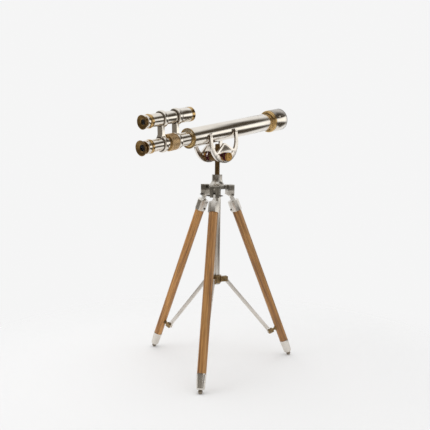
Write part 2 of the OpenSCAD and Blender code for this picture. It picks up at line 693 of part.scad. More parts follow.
// Flat bar with a round eye on the hub's pin and a slot on the bracket's pin
module bar(az) color("gainsboro") leg_plane(az) translate([hub_pin_r, bar_t / 2, hub_z])
    rotate([90, 0, 0]) linear_extrude(bar_t) rotate(-90 + bar_angle) difference() {
        union() {
            circle(r = bar_eye_r, $fn = small);
            translate([bar_len, 0]) circle(r = bar_eye_r, $fn = small);
            translate([0, -bar_w / 2]) square([bar_len, bar_w]);
        }
        circle(r = spread_pin_r + pin_play, $fn = small);
        translate([bar_len, 0]) circle(r = spread_pin_r + slot_play, $fn = small);
        translate([bar_len - slot_run, 0]) circle(r = spread_pin_r + slot_play, $fn = small);
        translate([bar_len - slot_run, -spread_pin_r - slot_play])
            square([slot_run, 2 * (spread_pin_r + slot_play)]);
    }

head_casting();
lug_screws();
hip_pins();
centre_column();
column_stop();
pan_post();
post_collar();
tilt_barrel();
tilt_axle();
inner_washers();
yoke_near();
yoke_far();
outer_washers();
yoke_screws();
main_tube();
tube_collar();
objective_ring();
lens_hood();
hood_screw();
objective_lens();
knob_near();
knob_far();
draw_tube();
clamp_rear();
clamp_front();
clamp_screws();
eyepiece_sleeve();
eyepiece_ring();
eyepiece_drum();
eyecup();
eye_lens();
focus_wheel();
finder_tube();
finder_ring();
finder_bell();
finder_bezel();
finder_lens();
finder_drum();
finder_eyecup();
finder_eye_lens();
socket(front_az);  // socket_front
socket(left_az);  // socket_left
socket(right_az);  // socket_right
fixings(front_az);  // fixings_front
fixings(left_az);  // fixings_left
fixings(right_az);  // fixings_right
leg(front_az);  // leg_front
leg(left_az);  // leg_left
leg(right_az);  // leg_right
foot(front_az);  // foot_front
foot(left_az);  // foot_left
foot(right_az);  // foot_right
bracket(front_az);  // bracket_front
bracket(left_az);  // bracket_left
bracket(right_az);  // bracket_right
spreader_hub();
hub_pins();
bar(front_az);  // bar_front
bar(left_az);  // bar_left
bar(right_az);  // bar_right
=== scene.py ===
"""Looks of the decorative telescope on its folding wooden tripod, in metres."""
import math

import bmesh
import bpy
from mathutils import Matrix, Vector


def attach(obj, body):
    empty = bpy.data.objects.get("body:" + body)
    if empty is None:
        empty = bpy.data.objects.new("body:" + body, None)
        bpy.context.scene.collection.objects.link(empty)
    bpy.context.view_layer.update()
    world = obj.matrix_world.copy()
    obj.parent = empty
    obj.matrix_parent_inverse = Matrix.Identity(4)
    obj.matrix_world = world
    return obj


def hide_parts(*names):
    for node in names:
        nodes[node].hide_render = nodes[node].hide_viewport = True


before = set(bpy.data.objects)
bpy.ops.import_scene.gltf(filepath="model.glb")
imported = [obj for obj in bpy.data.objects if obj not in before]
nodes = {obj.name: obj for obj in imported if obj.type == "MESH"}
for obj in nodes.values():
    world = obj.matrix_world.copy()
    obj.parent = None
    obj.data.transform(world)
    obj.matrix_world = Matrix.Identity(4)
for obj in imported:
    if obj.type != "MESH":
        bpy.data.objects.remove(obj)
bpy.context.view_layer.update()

# Measures shared with the part: points in metres, other lengths in millimetres

MM = 0.001
UP = Vector((0, 0, 1))
AXIS = Vector((0.367434, -33.9603, 0)) * MM
AXLE = AXIS + UP * 387 * MM
TILT = math.radians(9.05)
ALONG = Vector((math.cos(TILT), 0, math.sin(TILT)))
RISING = Vector((-math.sin(TILT), 0, math.cos(TILT)))
BACK = tuple(-ALONG)
RISE = 42.9
FINDER_RISE = 83.6
YOKE_MID = 19.1
AZIMUTHS = {"front": 213.7, "left": 93.7, "right": -26.3}
LEG_LEAN = math.radians(22.27)
HIP_R = 27.4
HIP_Z = 317.5
FERRULE_END = 336.6


# Frames and points

def heading(degrees):
    """Level direction at an azimuth."""
    a = math.radians(degrees)
    return Vector((math.cos(a), math.sin(a), 0))


def frame_of(origin, x, y, z):
    """Matrix with these axes at an origin in metres."""
    m = Matrix((x, y, z)).transposed().to_4x4()
    m.translation = origin
    return m


def scope_frame(station, side, rise):
    """Frame of the tilting telescope, X along the sight line from the axle."""
    origin = AXLE + (ALONG * station + Vector((0, side, 0)) + RISING * rise) * MM
    return frame_of(origin, ALONG, Vector((0, 1, 0)), RISING)


def leg_point(name, down):
    """Point on a leg's line, some way down from its hinge pin."""
    out = heading(AZIMUTHS[name])
    up_leg = UP * math.cos(LEG_LEAN) - out * math.sin(LEG_LEAN)
    return AXIS + (out * HIP_R + UP * HIP_Z - up_leg * down) * MM


def facing(origin, out, spin):
    """Frame whose X points out of a screw's head."""
    out = out.normalized()
    other = UP if abs(out.z) < 0.9 else Vector((1, 0, 0))
    y = out.cross(other).normalized()
    return frame_of(origin, out, y, out.cross(y)) @ Matrix.Rotation(spin, 4, "X")


def round_out(station, rise, radius, degrees):
    """Place on a tube's surface, at an angle above the side nearest the camera."""
    a = math.radians(degrees)
    out = Vector((0, -1, 0)) * math.cos(a) + RISING * math.sin(a)
    return facing(scope_frame(station, 0, rise).translation + out * radius * MM, out, 0.5)


# Objects and meshes

SMOOTH_ANGLE = 34


def add_object(name, data):
    obj = bpy.data.objects.new(name, data)
    bpy.context.scene.collection.objects.link(obj)
    return obj


def smooth_nodes():
    """Node group that shades smoothly and keeps sharp edges crisp."""
    g = bpy.data.node_groups.new("smooth_by_angle", "GeometryNodeTree")
    for way in ("INPUT", "OUTPUT"):
        g.interface.new_socket("Geometry", in_out=way, socket_type="NodeSocketGeometry")
    first = g.nodes.new("NodeGroupInput")
    last = g.nodes.new("NodeGroupOutput")
    shade = g.nodes.new("GeometryNodeSetMeshNormal")
    bend = g.nodes.new("GeometryNodeInputMeshEdgeAngle")
    over = g.nodes.new("ShaderNodeMath")
    over.operation = "GREATER_THAN"
    over.inputs[1].default_value = math.radians(SMOOTH_ANGLE)
    shade.inputs["Remove Custom"].default_value = True
    g.links.new(bend.outputs["Unsigned Angle"], over.inputs[0])
    g.links.new(over.outputs[0], shade.inputs["Edge Sharpness"])
    g.links.new(first.outputs[0], shade.inputs["Mesh"])
    g.links.new(shade.outputs["Mesh"], last.inputs[0])
    return g


def new_piece(name, bm, body, node, material, angle):
    """Piece that rides on a body in place of a CAD node."""
    mesh = bpy.data.meshes.new(name)
    bmesh.ops.recalc_face_normals(bm, faces=bm.faces)
    bm.to_mesh(mesh)
    bm.free()
    mesh.polygons.foreach_set("use_smooth", [True] * len(mesh.polygons))
    mesh.set_sharp_from_angle(angle=math.radians(angle))
    mesh.update()
    mesh.materials.append(material)
    obj = add_object(name, mesh)
    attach(obj, body)
    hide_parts(node)


def lathe(bm, place, profile, around, wave=None, closed=True):
    """Turned shape about the X axis of place, from (station, radius) pairs."""
    rings = []
    for station, radius in profile:
        ring = []
        for k in range(around):
            a = 2 * math.pi * k / around
            r = radius + (wave(a, station) if wave else 0)
            p = Vector((station, r * math.cos(a), r * math.sin(a))) * MM
            ring.append(bm.verts.new(place @ p))
        rings.append(ring)
    pairs = list(zip(rings, rings[1:]))
    if closed:
        pairs.append((rings[-1], rings[0]))
    for one, two in pairs:
        for k in range(around):
            n = (k + 1) % around
            bm.faces.new((one[k], one[n], two[n], two[k]))
    if not closed:
        bm.faces.new(rings[0])
        bm.faces.new(list(reversed(rings[-1])))


# Shader nodes

BUMP_DEPTH = 0.0002


def new_material(name):
    m = bpy.data.materials.new(name)
    m.use_nodes = True
    return m, m.node_tree, m.node_tree.nodes["Principled BSDF"]


def add(nt, kind, **values):
    n = nt.nodes.new(kind)
    for k, v in values.items():
        setattr(n, k, v)
    return n


def link(nt, a, b):
    nt.links.new(a, b)


def put(nt, socket, value):
    """Give a socket a plain value, or the value of another socket."""
    if isinstance(value, bpy.types.NodeSocket):
        link(nt, value, socket)
    else:
        socket.default_value = value


def calc(nt, operation, one, two=None):
    n = add(nt, "ShaderNodeMath", operation=operation)
    put(nt, n.inputs[0], one)
    if two is not None:
        put(nt, n.inputs[1], two)
    return n.outputs["Value"]


def product(nt, one, two):
    return calc(nt, "MULTIPLY", one, two)


def vector_calc(nt, operation, one, two=None):
    n = add(nt, "ShaderNodeVectorMath", operation=operation)
    put(nt, n.inputs[0], one)
    if two is not None:
        put(nt, n.inputs[1], two)
    return n.outputs["Value" if operation in ("DOT_PRODUCT", "LENGTH") else "Vector"]


def mix(nt, kind, share, one, two, **values):
    n = add(nt, "ShaderNodeMix", data_type=kind, **values)
    put(nt, n.inputs["Factor"], share)
    put(nt, n.inputs["A"], one)
    put(nt, n.inputs["B"], two)
    return n.outputs["Result"]


def mix_shaders(nt, share, one, two):
    n = add(nt, "ShaderNodeMixShader")
    link(nt, share, n.inputs["Fac"])
    link(nt, one.outputs[0], n.inputs[1])
    link(nt, two.outputs[0], n.inputs[2])
    link(nt, n.outputs["Shader"], nt.nodes["Material Output"].inputs["Surface"])


def noise(nt, vector, scale, detail, rough, distortion=0.0):
    n = add(nt, "ShaderNodeTexNoise")
    n.inputs["Scale"].default_value = scale
    n.inputs["Detail"].default_value = detail
    n.inputs["Roughness"].default_value = rough
    n.inputs["Distortion"].default_value = distortion
    link(nt, vector, n.inputs["Vector"])
    return n.outputs["Fac"]


def ramp(nt, fac, stops):
    r = add(nt, "ShaderNodeValToRGB")
    e = r.color_ramp.elements
    e.remove(e[1])
    for k, (pos, col) in enumerate(stops):
        el = e.new(pos) if k else e[0]
        el.position = pos
        el.color = (*col, 1) if hasattr(col, "__len__") else (col, col, col, 1)
    link(nt, fac, r.inputs["Fac"])
    return r.outputs["Color"]


def remap(nt, fac, lo, hi, to_lo, to_hi):
    n = add(nt, "ShaderNodeMapRange")
    n.inputs["From Min"].default_value = lo
    n.inputs["From Max"].default_value = hi
    n.inputs["To Min"].default_value = to_lo
    n.inputs["To Max"].default_value = to_hi
    link(nt, fac, n.inputs["Value"])
    return n.outputs["Result"]


def step(nt, length, lo, hi, to_lo=0, to_hi=1):
    """Share that changes while a length goes from lo to hi millimetres."""
    return remap(nt, length, lo * MM, hi * MM, to_lo, to_hi)


def bump(nt, shader, height, strength):
    b = add(nt, "ShaderNodeBump")
    b.inputs["Strength"].default_value = strength
    b.inputs["Distance"].default_value = BUMP_DEPTH
    link(nt, height, b.inputs["Height"])
    link(nt, b.outputs["Normal"], shader.inputs["Normal"])


# Coordinates in materials

def position(nt):
    return add(nt, "ShaderNodeTexCoord").outputs["Object"]


def part_of(nt, vector, axis):
    parts = add(nt, "ShaderNodeSeparateXYZ")
    link(nt, vector, parts.inputs["Vector"])
    return parts.outputs[axis]


def upright_z(nt):
    return part_of(nt, position(nt), "Z")


def spun(nt, vector, turn=(0, 0, 0), scale=(1, 1, 1), shift=(0, 0, 0)):
    """Coordinates turned, stretched and shifted."""
    mapping = add(nt, "ShaderNodeMapping")
    mapping.inputs["Location"].default_value = shift
    mapping.inputs["Rotation"].default_value = turn
    mapping.inputs["Scale"].default_value = scale
    link(nt, vector, mapping.inputs["Vector"])
    return mapping.outputs["Vector"]


def leg_coords(nt, name):
    """Coordinates turned so that Z runs up a leg."""
    flat = spun(nt, position(nt), (0, 0, -math.radians(AZIMUTHS[name])))
    return spun(nt, flat, (0, LEG_LEAN, 0))


def axis_coords(nt, rise):
    """Coordinates in the tilting telescope, X along a tube's axis."""
    origin = Matrix.Rotation(TILT, 3, "Y") @ scope_frame(0, 0, rise).translation
    return spun(nt, position(nt), (0, TILT, 0), shift=-origin)


def off_axis(nt, vector):
    """Distance from the X axis."""
    return vector_calc(nt, "LENGTH", vector_calc(nt, "MULTIPLY", vector, (0, 1, 1)))


def near_axis(nt, rise, limit):
    """1 nearer to a tube's axis than a limit, else 0."""
    return step(nt, off_axis(nt, axis_coords(nt, rise)), limit - 0.3, limit + 0.3, 1, 0)


def facing_share(nt, direction, start, full):
    """0 to 1 as a surface's own normal turns towards a direction."""
    normal = add(nt, "ShaderNodeTexCoord").outputs["Normal"]
    return remap(nt, vector_calc(nt, "DOT_PRODUCT", normal, direction), start, full, 0, 1)


# Kinds of material; tones are (bright, dull) and rough is (smooth, dull)

FINISHING_LINES = (1, 0.03, 0.03)
# Painted light: each leg's wood colour is scaled lighter or darker (left leg lighter, front and
# right legs darker) to match how the light falls on it
PAINTED_LEG_LIGHT = {"front": 0.86, "left": 1.06, "right": 0.82}
WOOD_SHADES = [(0.32, (0.27, 0.112, 0.027)), (0.47, (0.47, 0.212, 0.054)),
               (0.66, (0.64, 0.325, 0.098))]
WOOD_STRETCH = (1, 1, 0.035)


def patched(nt, patches, tones):
    bright, dull = tones
    return ramp(nt, patches, [(0.34, dull), (0.62, bright)])


def metal(name, tones, rough, turned=True, grain=0.05, grain_scale=1400, blotch=45):
    """Metal with tarnish in soft patches and fine finishing lines."""
    m, nt, s = new_material(name)
    s.inputs["Metallic"].default_value = 1
    base = position(nt)
    patches = noise(nt, base, blotch, 4, 0.6)
    stretch = FINISHING_LINES if turned else (1, 1, 1)
    lines = noise(nt, spun(nt, base, (0, TILT, 0), stretch), grain_scale, 2, 0.6)
    link(nt, patched(nt, patches, tones), s.inputs["Base Color"])
    both = calc(nt, "ADD", patches, lines)
    link(nt, remap(nt, both, 0.7, 1.3, rough[1], rough[0]), s.inputs["Roughness"])
    bump(nt, s, lines, grain)
    return m


def zoned(name, height, edge, blend, lower, upper, grain):
    """Metal with one finish, (tones, rough), below an edge and another above it."""
    m, nt, s = new_material(name)
    s.inputs["Metallic"].default_value = 1
    base = position(nt)
    patches = noise(nt, base, 160, 4, 0.6)
    fine = noise(nt, base, 600, 3, 0.6)
    share = step(nt, height(nt), edge - blend, edge + blend)
    colours = [patched(nt, patches, tones) for tones, rough in (lower, upper)]
    roughs = [remap(nt, patches, 0.3, 0.7, rough[1], rough[0]) for tones, rough in (lower, upper)]
    link(nt, mix(nt, "RGBA", share, *colours), s.inputs["Base Color"])
    link(nt, mix(nt, "FLOAT", share, *roughs), s.inputs["Roughness"])
    bump(nt, s, fine, grain)
    return m


def refinish(m, share, colour, rough):
    """Give part of a metal another colour and roughness."""
    nt = m.node_tree
    s = nt.nodes["Principled BSDF"]
    for socket, value, kind in (("Base Color", (*colour, 1), "RGBA"),
                                ("Roughness", rough, "FLOAT")):
        was = s.inputs[socket].links[0].from_socket
        link(nt, mix(nt, kind, share, was, value), s.inputs[socket])
    return m


def lined(m, rise, radius):
    """Matt black paint inside a tube: every point nearer its axis than radius."""
    nt = m.node_tree
    coords = axis_coords(nt, rise)
    inside = calc(nt, "LESS_THAN", off_axis(nt, coords), radius * MM)
    black = add(nt, "ShaderNodeBsdfPrincipled")
    dust = noise(nt, coords, 500, 3, 0.6)
    link(nt, ramp(nt, dust, [(0.4, 0.006), (0.7, 0.016)]), black.inputs["Base Color"])
    link(nt, remap(nt, dust, 0.3, 0.7, 0.7, 0.9), black.inputs["Roughness"])
    mix_shaders(nt, inside, nt.nodes["Principled BSDF"], black)
    return m


def wood(name):
    """Oiled wood with streaks along a leg and fine pores, its colour scaled by the leg's painted
    light level.
    """
    m, nt, s = new_material("wood_" + name)
    along = spun(nt, leg_coords(nt, name), scale=WOOD_STRETCH)
    broad = noise(nt, along, 230, 3, 0.6, 0.4)
    fine = noise(nt, along, 900, 2, 0.6)
    # painted light: a lighter or darker copy of the same wood for each leg
    tone = PAINTED_LEG_LIGHT[name]
    colour = ramp(nt, broad, [(at, tuple(tone * c for c in shade)) for at, shade in WOOD_SHADES])
    pores = ramp(nt, fine, [(0.38, 0.55), (0.52, 1.0)])
    link(nt, mix(nt, "RGBA", 0.8, colour, pores, blend_type="MULTIPLY"), s.inputs["Base Color"])
    link(nt, remap(nt, fine, 0.3, 0.7, 0.52, 0.36), s.inputs["Roughness"])
    s.inputs["Coat Weight"].default_value = 0.25
    s.inputs["Coat Roughness"].default_value = 0.3
    bump(nt, s, fine, 0.25)
    return m


def leather():
    """Maroon leather with fine pits."""
    m, nt, s = new_material("washer_leather")
    base = position(nt)
    pits = add(nt, "ShaderNodeTexVoronoi")
    pits.inputs["Scale"].default_value = 1400
    link(nt, base, pits.inputs["Vector"])
    fibres = noise(nt, base, 700, 4, 0.7)
    link(nt, ramp(nt, fibres, [(0.35, (0.050, 0.004, 0.012)), (0.65, (0.130, 0.012, 0.034))]),
         s.inputs["Base Color"])
    link(nt, remap(nt, fibres, 0.3, 0.7, 0.75, 0.5), s.inputs["Roughness"])
    s.inputs["Specular IOR Level"].default_value = 0.15
    bump(nt, s, pits.outputs["Distance"], 0.4)
    return m


def glass(name, tint):
    """Glass in a given tint, with a faint film and a cool coating."""
    m, nt, s = new_material(name)
    film = noise(nt, position(nt), 60, 2, 0.5)
    lighter = tuple(min(1, c * 1.12) for c in tint)
    link(nt, ramp(nt, film, [(0.3, tint), (0.7, lighter)]), s.inputs["Base Color"])
    link(nt, remap(nt, film, 0.3, 0.7, 0.0, 0.03), s.inputs["Roughness"])
    s.inputs["Transmission Weight"].default_value = 1
    s.inputs["IOR"].default_value = 1.52
    s.inputs["Coat Weight"].default_value = 0.12
    s.inputs["Coat Tint"].default_value = (0.80, 0.84, 1.0, 1)
    return m


# Metals of single pieces

NICKEL = (0.85, 0.80, 0.725), (0.79, 0.735, 0.655)
BRASS = (0.58, 0.39, 0.17), (0.52, 0.345, 0.145)
# Colour of painted shade: dark lines beside rings and steps, dark rims, and surfaces that look back
PAINTED_SHADE = (0.15, 0.12, 0.095)

# Heights above the floor where a finish or painted light changes; a pair says where the change
# starts and ends
LIP_Z = 333.8
NECK = 343.5, 345
LUG_REFLECTION = 324, 326.5
TONGUE = 306, 307.5

# The same as stations along a tube, heights above its axis and distances from the axis
BELL_STEP = -88.7, -88.4
HOOD_RIM = 189.3, 189.7
HOOD_TOP = 6, 13
ARM_TOP = -15, -10
DISH_TOP = 5, 11
COLLAR_RIM = 15.8, 16.4
CLAMP_CORNERS = (FINDER_RISE, 12.3), (RISE, 12.2)

# The same in a yoke: distance from its middle plane and from the axle, height of the arch's
# base above the axle, and the distance along the normal of the arch's slopes
RECESS_FLOOR = 0.9, 1.2
BOSS_RIM = 7.9, 8.1
ARCH_BASE = 11.1, 12.7
ARCH_NORMAL = (0.579, 0, 0.816)
ARCH_EDGE = 15.34, 17.14


def nickel(name):
    return metal(name, NICKEL, (0.13, 0.18), grain=0.012)


def satin(name, tones, rough):
    return metal(name, tones, rough, turned=False, grain=0.12, grain_scale=900)


def knurl_metal():
    """Knurled brass; the face on the side that looks back is smoother and has painted shade, a
    darker brown.
    """
    m = metal("knurled_brass", ((0.64, 0.445, 0.245), (0.54, 0.37, 0.19)), (0.34, 0.46), blotch=240)
    # painted shade: faces that look back are given a darker brown
    return refinish(m, facing_share(m.node_tree, BACK, 0.8, 0.95), (0.40, 0.26, 0.11), 0.28)


def clamp_metal():
    """Nickel with painted shade, dark lines where the clamps' rings meet the tubes."""
    m = nickel("clamp_nickel")
    nt = m.node_tree
    corners = calc(nt, "MAXIMUM", *(near_axis(nt, rise, limit) for rise, limit in CLAMP_CORNERS))
    # painted shade beside the rings, on the faces that look back
    return refinish(m, product(nt, corners, facing_share(nt, BACK, 0.6, 0.85)), PAINTED_SHADE, 0.42)


def yoke_metal(name, sign):
    """Bright casting with painted shade: darker in the arch's recess and darkest in its middle,
    dark on the near yoke's boss, and dark where the arms' tops look back.
    """
    m = metal("cast_" + name, ((0.84, 0.79, 0.73), (0.74, 0.69, 0.63)), (0.18, 0.30),
              turned=False, grain=0.2, grain_scale=420)
    nt = m.node_tree
    off_mid = calc(nt, "SUBTRACT", part_of(nt, position(nt), "Y"), AXIS.y + sign * YOKE_MID * MM)
    # painted shade: the arch's recess is darker
    recess = product(nt, step(nt, calc(nt, "ABSOLUTE", off_mid), *RECESS_FLOOR, 1, 0),
                     facing_share(nt, (0, sign, 0), 0.5, 0.8))
    refinish(m, recess, (0.50, 0.46, 0.41), 0.42)
    at = axis_coords(nt, 0)
    slope = vector_calc(nt, "DOT_PRODUCT", vector_calc(nt, "ABSOLUTE", at), ARCH_NORMAL)
    middle = product(nt, step(nt, slope, *ARCH_EDGE, 1, 0),
                     step(nt, part_of(nt, at, "Z"), *ARCH_BASE))
    # painted shade, darkest in the middle of the arch's recess
    refinish(m, product(nt, recess, middle), (0.20, 0.17, 0.135), 0.42)
    if name == "near":
        # painted shade: the near yoke's boss is dark
        off_axle = vector_calc(nt, "LENGTH", vector_calc(nt, "MULTIPLY", at, (1, 0, 1)))
        refinish(m, step(nt, off_axle, *BOSS_RIM, 1, 0), (0.16, 0.10, 0.05), 0.45)
    # painted shade where the arms' tops look back
    arm_top = step(nt, part_of(nt, axis_coords(nt, RISE), "Z"), *ARM_TOP)
    return refinish(m, product(nt, facing_share(nt, BACK, 0.55, 0.9), arm_top), PAINTED_SHADE, 0.40)


def collar_metal():
    """Brass with a painted highlight, pale in the upper part of its dish, and painted shade, darker
    round the rim.
    """
    m = metal("collar_brass", ((0.60, 0.42, 0.19), (0.55, 0.38, 0.165)), (0.18, 0.24), blotch=260)
    nt = m.node_tree
    at = axis_coords(nt, RISE)
    # painted highlight in the upper part of the dish
    refinish(m, step(nt, part_of(nt, at, "Z"), *DISH_TOP), (0.82, 0.72, 0.54), 0.28)
    # painted shade round the rim
    return refinish(m, step(nt, off_axis(nt, at), *COLLAR_RIM), (0.36, 0.235, 0.095), 0.34)


def bell_metal():
    """Nickel with painted shade, a dark step where the finder's bell starts."""
    m = nickel("bell_nickel")
    station = part_of(m.node_tree, axis_coords(m.node_tree, FINDER_RISE), "X")
    # painted shade: a dark step at the start of the bell
    return refinish(m, step(m.node_tree, station, *BELL_STEP, 1, 0), PAINTED_SHADE, 0.42)


def hood_metal():
    """Nickel, a little rougher and with a painted dark reflection along the hood's top, and painted
    shade on its open rim.
    """
    m = nickel("hood_nickel")
    nt = m.node_tree
    at = axis_coords(nt, RISE)
    # painted dark reflection along the hood's top
    refinish(m, step(nt, part_of(nt, at, "Z"), *HOOD_TOP, 0, 0.8), (0.34, 0.31, 0.28), 0.24)
    # painted shade on the open rim
    return refinish(m, step(nt, part_of(nt, at, "X"), *HOOD_RIM), PAINTED_SHADE, 0.42)


def casting_metal():
    """Head casting: dark lugs, a pale lip and a darker neck; the lower ends of the side lugs have a
    painted pale reflection.
    """
    m = zoned("dark_casting", upright_z, LIP_Z, 0.4,
              (((0.31, 0.29, 0.25), (0.18, 0.165, 0.14)), (0.32, 0.5)),
              (((0.66, 0.63, 0.57), (0.54, 0.51, 0.46)), (0.24, 0.36)), 0.3)
    nt = m.node_tree
    z = upright_z(nt)
    refinish(m, step(nt, z, *NECK), (0.44, 0.41, 0.37), 0.24)
    front = heading(AZIMUTHS["front"])
    centre = AXIS.dot(front) / MM
    behind = step(nt, vector_calc(nt, "DOT_PRODUCT", position(nt), front), centre, centre + 5, 1, 0)
    # painted reflection: the lower ends of the side lugs are pale
    lug_reflection = product(nt, behind, step(nt, z, *LUG_REFLECTION, 1, 0))
    return refinish(m, lug_reflection, (0.72, 0.68, 0.62), 0.45)


def socket_metal(name):
    """Satin nickel, with a painted highlight making the hinge's tongue pale."""
    m = satin("socket_" + name, ((0.75, 0.71, 0.655), (0.67, 0.635, 0.58)), (0.24, 0.36))
    # painted highlight on the hinge's tongue
    tongue = step(m.node_tree, upright_z(m.node_tree), *TONGUE)
    return refinish(m, tongue, (0.92, 0.89, 0.84), 0.5)


def foot_metal(name):
    """Pale satin ferrule over a rougher stem and ball that have painted shade, darker near the
    floor.
    """
    turned = (Matrix.Rotation(LEG_LEAN, 3, "Y")
              @ Matrix.Rotation(-math.radians(AZIMUTHS[name]), 3, "Z"))
    edge = (turned @ leg_point(name, FERRULE_END)).z / MM
    # painted shade: the stem and ball below the ferrule are darker
    return zoned("foot_" + name, lambda nt: part_of(nt, leg_coords(nt, name), "Z"), edge, 0.3,
                 (((0.34, 0.29, 0.23), (0.20, 0.17, 0.13)), (0.34, 0.5)),
                 (((0.76, 0.72, 0.66), (0.71, 0.67, 0.61)), (0.17, 0.24)), 0.02)


def cup_metal(name):
    return metal(name, ((0.265, 0.165, 0.062), (0.195, 0.118, 0.042)), (0.30, 0.40), blotch=240)


# The materials of the CAD nodes

mats = {
    "nickel": nickel("nickel"),
    "satin": satin("satin_nickel", ((0.70, 0.665, 0.61), (0.60, 0.565, 0.51)), (0.24, 0.38)),
    "brass": metal("brass", BRASS, (0.15, 0.20), blotch=260, grain=0.012),
    "ring": metal("ring_brass", ((0.70, 0.49, 0.23), (0.66, 0.46, 0.21)), (0.10, 0.14),
                  blotch=120, grain=0.0),
    "dark_brass": metal("dark_brass", ((0.25, 0.155, 0.065), (0.12, 0.07, 0.028)), (0.34, 0.55),
                        turned=False, grain=0.15),
    "knob": metal("knob_brass", ((0.52, 0.30, 0.09), (0.48, 0.275, 0.08)), (0.40, 0.48),
                  blotch=120),
    "knurl": knurl_metal(),
    "collar": collar_metal(),
    "bracket": metal("bracket_brass", ((0.38, 0.26, 0.125), (0.23, 0.15, 0.068)), (0.26, 0.42),
                     turned=False, blotch=160, grain=0.15),
    "bar": metal("bar_metal", ((0.83, 0.785, 0.725), (0.77, 0.72, 0.66)), (0.38, 0.50),
                 turned=False, grain=0.08, grain_scale=900),
    "casting": casting_metal(),
    "clamp": clamp_metal(),
    "dark_steel": metal("dark_steel", ((0.24, 0.22, 0.20), (0.12, 0.11, 0.10)), (0.32, 0.5),
                        turned=False),
    "washer": leather(),
    "glass": glass("lens_glass", (0.86, 0.90, 0.93)),
    # painted shade: the eye lenses are tinted dark so that the inside of the tube shows dark
    # through them
    "eye_glass": glass("eye_glass", (0.26, 0.29, 0.34)),
}
LOOKS = {
    "nickel": ("yoke_screws", "hood_screw"),
    "satin": ("centre_column", "column_stop"),
    "brass": ("tilt_axle", "eyepiece_ring", "finder_ring", "finder_bezel"),
    "ring": ("objective_ring",),
    "dark_brass": ("pan_post", "tilt_barrel"),
    "knob": ("knob_near", "knob_far"),
    "knurl": ("focus_wheel",),
    "collar": ("tube_collar",),
    "bracket": ("spreader_hub", "bracket_front", "bracket_left", "bracket_right"),
    "bar": ("bar_front", "bar_left", "bar_right"),
    "casting": ("head_casting", "post_collar"),
    "clamp": ("clamp_rear", "clamp_front"),
    "dark_steel": ("lug_screws", "hip_pins", "clamp_screws", "hub_pins",
                   "fixings_front", "fixings_left", "fixings_right"),
    "washer": ("inner_washers", "outer_washers"),
    "glass": ("objective_lens", "finder_lens"),
    "eye_glass": ("eye_lens", "finder_eye_lens"),
}
painted = {node: mats[look] for look, shown_on in LOOKS.items() for node in shown_on}
painted["yoke_near"] = yoke_metal("near", -1)
painted["yoke_far"] = yoke_metal("far", 1)
for leg in AZIMUTHS:
    painted["leg_" + leg] = wood(leg)
    painted["socket_" + leg] = socket_metal(leg)
    painted["foot_" + leg] = foot_metal(leg)

# Tubes painted black inside, out to a radius from their axis
for node, material, rise, radius in (
        ("main_tube", nickel("tube_nickel"), RISE, 15.9),
        ("lens_hood", hood_metal(), RISE, 20.6),
        ("draw_tube", nickel("draw_nickel"), RISE, 11.0),
        ("eyepiece_sleeve", nickel("sleeve_nickel"), RISE, 10.0),
        ("eyepiece_drum", nickel("drum_nickel"), RISE, 9.0),
        ("eyecup", cup_metal("cup_brass"), RISE, 5.6),
        ("finder_bell", bell_metal(), FINDER_RISE, 11.2),
        ("finder_tube", nickel("finder_nickel"), FINDER_RISE, 10.3),
        ("finder_drum", nickel("finder_drum_nickel"), FINDER_RISE, 6.2),
        ("finder_eyecup", cup_metal("finder_cup_brass"), FINDER_RISE, 4.6)):
    painted[node] = lined(material, rise, radius)

# Rounded edges and smooth shading on the CAD nodes

PLAIN_EDGE = 0.15
EDGE_ANGLE = 38
ROUNDED = {"yoke_near": 0.9, "yoke_far": 0.9, "head_casting": 0.6, "clamp_rear": 0.35,
           "clamp_front": 0.35, "spreader_hub": 0.4, "tilt_barrel": 0.4}
for leg in AZIMUTHS:
    ROUNDED["bracket_" + leg] = 0.35
    ROUNDED["bar_" + leg] = 0.3
    ROUNDED["socket_" + leg] = 0.3

smooth = smooth_nodes()
for name, obj in nodes.items():
    obj.data.materials.clear()
    obj.data.materials.append(painted[name])
    weld = obj.modifiers.new("weld", "WELD")
    weld.merge_threshold = 1e-6
    bevel = obj.modifiers.new("edges", "BEVEL")
    bevel.width = ROUNDED.get(name, PLAIN_EDGE) * MM
    bevel.segments = 3 if name in ROUNDED else 2
    bevel.limit_method = "ANGLE"
    bevel.angle_limit = math.radians(EDGE_ANGLE)
    bevel.use_clamp_overlap = True
    obj.modifiers.new("shading", "NODES").node_group = smooth

# Knurled focusing wheel; each edge step is (distance from the end, drop below the knurl)

WHEEL_NEAR, WHEEL_FAR, WHEEL_R, WHEEL_BORE = -121, -103.8, 14.6, 10.66
WHEEL_EDGE = (0, 1.3), (0.3, 0.8), (1.1, 0.25)
WHEEL_PLAIN = 1.6
KNURLS, KNURL_DEPTH, KNURL_FADE = 84, 0.17, 0.5
KNURL_ROWS, KNURL_STEP = 71, 0.2


def diamonds(a, station):
    """Height of a diamond knurl, fading out at the wheel's two plain edges."""
    edge = min(station - (WHEEL_NEAR + WHEEL_PLAIN), (WHEEL_FAR - WHEEL_PLAIN) - station)
    if edge <= 0:
        return 0.0
    turn = KNURLS * a
    along = station * KNURLS / WHEEL_R
    crossed = abs(math.sin((turn + along) / 2)) + abs(math.sin((turn - along) / 2))
    return -KNURL_DEPTH * min(1.0, edge / KNURL_FADE) * (1 - crossed / 2)


